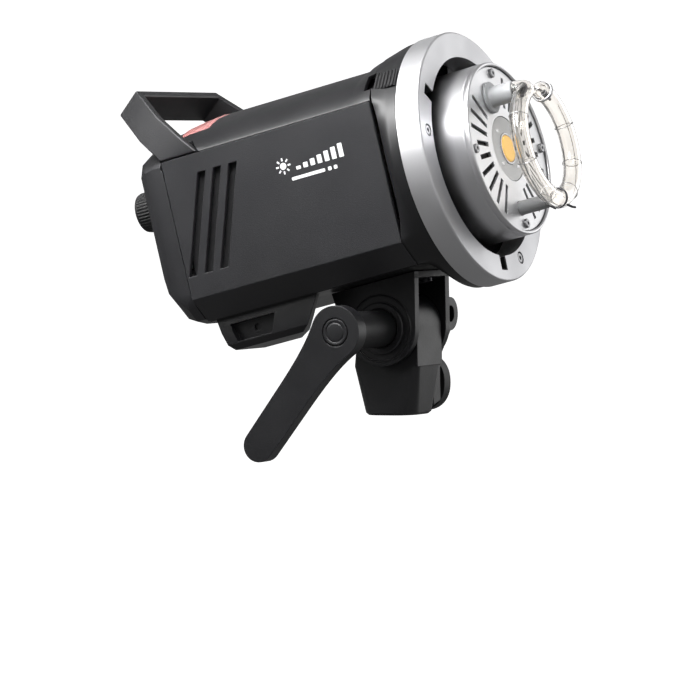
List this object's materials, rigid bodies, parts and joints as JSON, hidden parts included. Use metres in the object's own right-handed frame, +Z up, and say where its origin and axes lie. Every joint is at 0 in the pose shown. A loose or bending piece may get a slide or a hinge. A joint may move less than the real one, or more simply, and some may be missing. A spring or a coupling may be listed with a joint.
{
  "type": "monolight strobe",
  "caption": "Studio flash head with bayonet ring, ring flash tube, LED modelling lamp, carry handle, rear controls and tilting stand bracket.",
  "frame": {"origin": "on the stand socket's axis, at the bottom face of the tilting stand bracket, where the stand's shoulder ends", "axes": "+Z up along the stand's spigot, -Y the way the lamp points, +X across the lamp towards the clamp knob and umbrella hole"},
  "size_m": [0.1317, 0.2234, 0.2063],
  "materials": {
    "black_plastic": "satin moulded",
    "dark_grey_panel": "fine textured",
    "black_cast": "satin powder coat",
    "satin_aluminium": "satin turned",
    "steel": "machined",
    "dark_steel": "blackened",
    "clear_glass": "clear drawn quartz",
    "dark_glass": "tinted window",
    "red_lens": "translucent",
    "white_ceramic": "ceramic board",
    "yellow_phosphor": "phosphor coat",
    "board_green": "solder mask",
    "brass": "machined",
    "rubber_black": "soft touch",
    "sleeve_blue": "shrink sleeve",
    "copper_winding": "varnished winding"
  },
  "bodies": {
    "bracket": {"stand_bracket": "black_cast"},
    "head": {"tilt_yoke": "black_cast", "sync_jack": "brass", "friction_disc_near": "steel", "friction_disc_far": "steel", "bulkhead": "steel", "ring_screw_1": "steel", "ring_screw_2": "steel", "ring_screw_3": "steel", "ring_leaf_1": "steel", "ring_leaf_2": "steel", "face_screw_1": "steel", "face_screw_2": "steel", "face_screw_3": "steel", "face_screw_4": "steel", "tube_post_upper": "steel", "yoke_screw_1": "dark_steel", "yoke_screw_2": "dark_steel", "tilt_bolt": "dark_steel", "tube_post_lower": "dark_steel", "power_inlet": "rubber_black", "top_cover": "black_plastic", "bottom_cover": "black_plastic", "rear_cap": "black_plastic", "front_collar": "black_plastic", "carry_handle": "black_plastic", "control_panel": "black_plastic", "fan_frame": "black_plastic", "side_panel_near": "dark_grey_panel", "side_panel_far": "dark_grey_panel", "sensor_lens": "red_lens", "bayonet_ring": "satin_aluminium", "lamp_housing": "satin_aluminium", "face_plate": "satin_aluminium", "led_board": "white_ceramic", "led_chip": "yellow_phosphor", "flash_tube": "clear_glass", "screen_window": "dark_glass", "display_board": "board_green", "main_board": "board_green", "flash_capacitor_1": "sleeve_blue", "flash_capacitor_2": "sleeve_blue", "charging_transformer": "copper_winding"},
    "clamp_pad": {"clamp_pad": "brass"},
    "clamp_knob": {"clamp_screw": "steel", "clamp_knob": "rubber_black"},
    "lever_sleeve": {"lever_sleeve": "dark_steel"},
    "tilt_lever": {"tilt_lever": "black_plastic", "lever_cap": "black_plastic"},
    "release_slider": {"release_slider": "black_plastic", "lock_tongue": "steel"},
    "menu_button_1": {"menu_button_1": "rubber_black"},
    "menu_button_2": {"menu_button_2": "rubber_black"},
    "menu_button_3": {"menu_button_3": "rubber_black"},
    "menu_button_4": {"menu_button_4": "rubber_black"},
    "test_button": {"test_button": "rubber_black"},
    "dial": {"dial_shaft": "steel", "dial_knob": "black_plastic"},
    "rocker": {"rocker_switch": "rubber_black"},
    "fan": {"fan_rotor": "black_plastic"}
  },
  "joints": [
    {"name": "head_tilt", "type": "hinge", "parent": "bracket", "child": "head", "pos_m": [0, -0.0023, 0.0429], "axis": [-1, 0, 0], "range_deg": [-85, 60]},
    {"name": "lever_turn", "type": "hinge", "parent": "head", "child": "lever_sleeve", "pos_m": [-0.03, -0.0023, 0.0429], "axis": [-1, 0, 0], "range_deg": [-30, 60]},
    {"name": "lever_pull", "type": "slide", "parent": "lever_sleeve", "child": "tilt_lever", "axis": [-1, 0, 0], "range_m": [0, 0.004], "stiffness_N_per_m": 500, "springref_m": -0.003},
    {"name": "clamp_pad_slide", "type": "slide", "parent": "bracket", "child": "clamp_pad", "axis": [-1, 0, 0], "range_m": [0, 0.003]},
    {"name": "clamp_knob_turn", "type": "hinge", "parent": "clamp_pad", "child": "clamp_knob", "pos_m": [0.03, 0, 0.0144], "axis": [1, 0, 0], "range_deg": [0, 864]},
    {"name": "release_slide", "type": "slide", "parent": "head", "child": "release_slider", "axis": [0, 0.9728, -0.2317], "range_m": [0, 0.0035], "stiffness_N_per_m": 250, "springref_m": -0.003},
    {"name": "menu_press_1", "type": "slide", "parent": "head", "child": "menu_button_1", "axis": [0, -0.9728, 0.2317], "range_m": [0, 0.0008], "stiffness_N_per_m": 400, "springref_m": -0.0005},
    {"name": "menu_press_2", "type": "slide", "parent": "head", "child": "menu_button_2", "axis": [0, -0.9728, 0.2317], "range_m": [0, 0.0008], "stiffness_N_per_m": 400, "springref_m": -0.0005},
    {"name": "menu_press_3", "type": "slide", "parent": "head", "child": "menu_button_3", "axis": [0, -0.9728, 0.2317], "range_m": [0, 0.0008], "stiffness_N_per_m": 400, "springref_m": -0.0005},
    {"name": "menu_press_4", "type": "slide", "parent": "head", "child": "menu_button_4", "axis": [0, -0.9728, 0.2317], "range_m": [0, 0.0008], "stiffness_N_per_m": 400, "springref_m": -0.0005},
    {"name": "test_press", "type": "slide", "parent": "head", "child": "test_button", "axis": [0, -0.9728, 0.2317], "range_m": [0, 0.0008], "stiffness_N_per_m": 400, "springref_m": -0.0005},
    {"name": "dial_turn", "type": "hinge", "parent": "head", "child": "dial", "pos_m": [-0.03, 0.11023, 0.10357], "axis": [0, 0.9728, -0.2317], "continuous": true},
    {"name": "rocker_flip", "type": "hinge", "parent": "head", "child": "rocker", "pos_m": [0.03, 0.09656, 0.06088], "axis": [0, 0.2317, 0.9728], "range_deg": [-14, 0]},
    {"name": "fan_spin", "type": "hinge", "parent": "head", "child": "fan", "pos_m": [-0.0445, 0.06731, 0.09817], "axis": [1, 0, 0], "continuous": true}
  ],
  "couplings": [
    {"joint": "clamp_knob_turn", "follows": "clamp_pad_slide", "rad_per_m": 5026.5}
  ]
}
